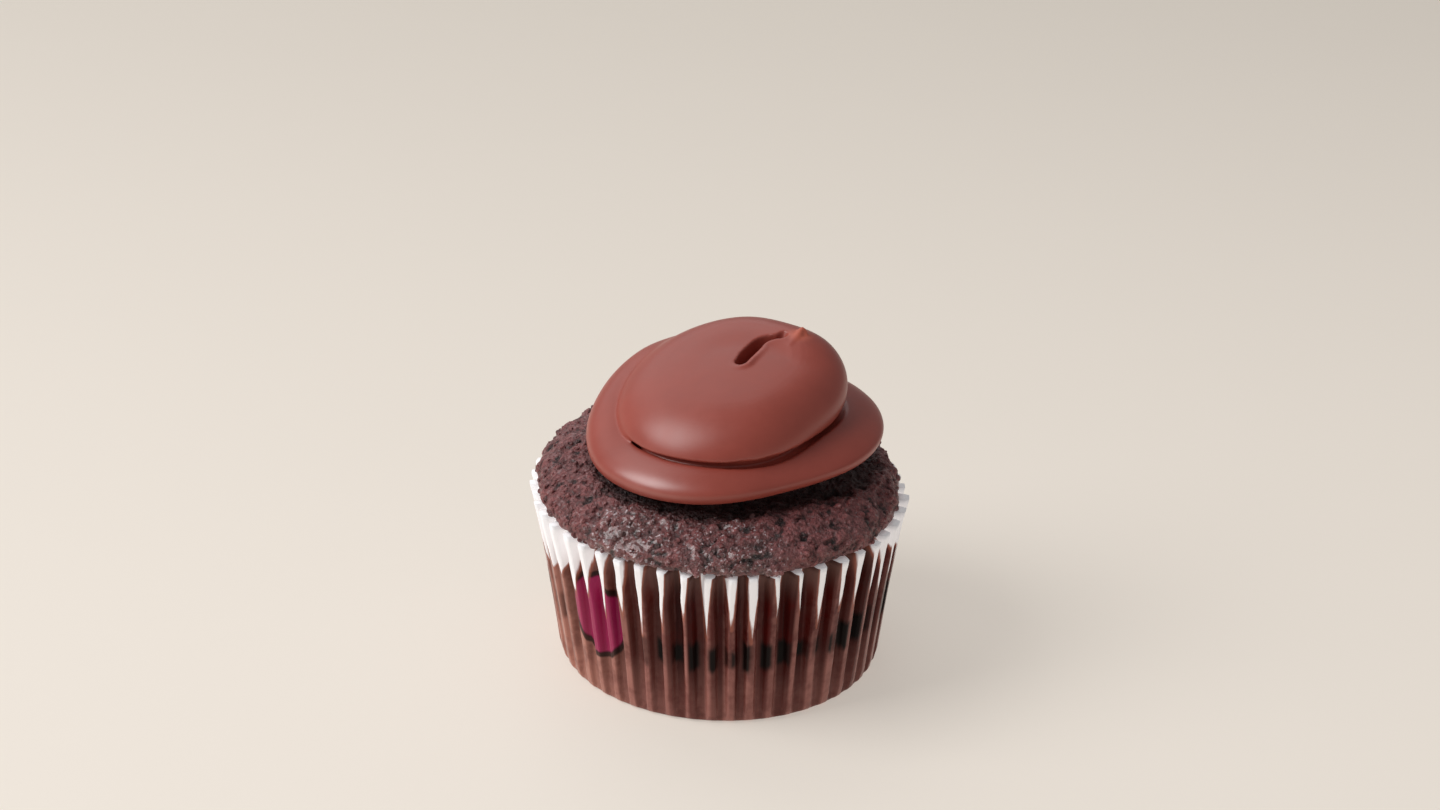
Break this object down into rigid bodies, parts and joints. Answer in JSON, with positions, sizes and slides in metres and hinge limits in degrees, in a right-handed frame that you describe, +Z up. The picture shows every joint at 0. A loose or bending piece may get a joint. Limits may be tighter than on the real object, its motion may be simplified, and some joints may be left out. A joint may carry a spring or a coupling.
{
  "type": "cupcake",
  "caption": "Iced cupcake: a dark domed cake in a pleated paper case, under a smooth swirl of chocolate icing with a slit and a small pulled tip on top.",
  "frame": {"origin": "middle of the paper case's flat base, on the surface that the cupcake rests on", "axes": "+Z up out of the case's mouth, -Y towards the side that faces the viewer, +X to the viewer's right"},
  "size_m": [0.0658, 0.0658, 0.0583],
  "materials": {
    "paper": "thin greaseproof baking paper, soaked brown where it touches the cake and dry and white on the upper pleats",
    "crumb": "open, slightly moist dark chocolate crumb",
    "icing": "smooth chocolate icing with a soft sheen"
  },
  "bodies": {
    "root": {"paper_case": "paper", "cake": "crumb", "icing": "icing"}
  },
  "joints": []
}
